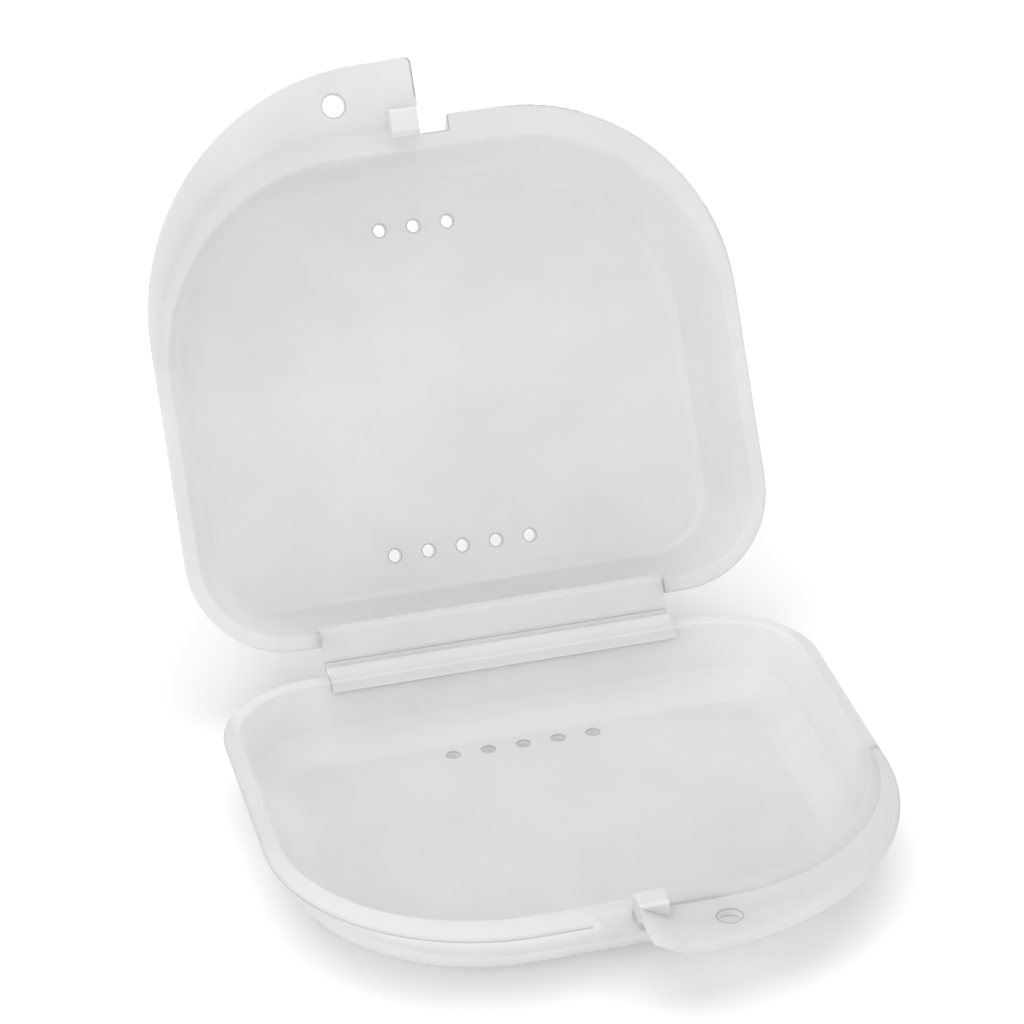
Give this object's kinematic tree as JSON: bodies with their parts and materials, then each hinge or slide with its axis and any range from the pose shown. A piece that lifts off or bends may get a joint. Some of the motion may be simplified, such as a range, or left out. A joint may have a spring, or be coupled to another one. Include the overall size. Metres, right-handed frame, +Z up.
{
  "type": "orthodontic retainer case",
  "caption": "Hinged clamshell case for a dental retainer: rounded trays with vent holes, a folding film hinge, and crescent finger tabs whose hooks snap through notches.",
  "frame": {"origin": "middle of the base under its rim, on the flat underside that it stands on", "axes": "+X to the right seen from the front, +Y towards the hinge at the back, +Z up"},
  "size_m": [0.08, 0.1232, 0.0803],
  "materials": {
    "polypropylene": "satin"
  },
  "bodies": {
    "base": {"base_tray": "polypropylene", "base_finger_tab": "polypropylene", "base_latch_hook": "polypropylene", "base_hinge_leaf": "polypropylene", "hinge_film": "polypropylene"},
    "lid": {"lid_tray": "polypropylene", "lid_finger_tab": "polypropylene", "lid_latch_hook": "polypropylene", "lid_hinge_leaf": "polypropylene"}
  },
  "joints": [
    {"name": "lid_hinge", "type": "hinge", "parent": "base", "child": "lid", "pos_m": [0, 0.03655, 0.01035], "axis": [-1, 0, 0], "range_deg": [-118.6, 31.4]}
  ]
}
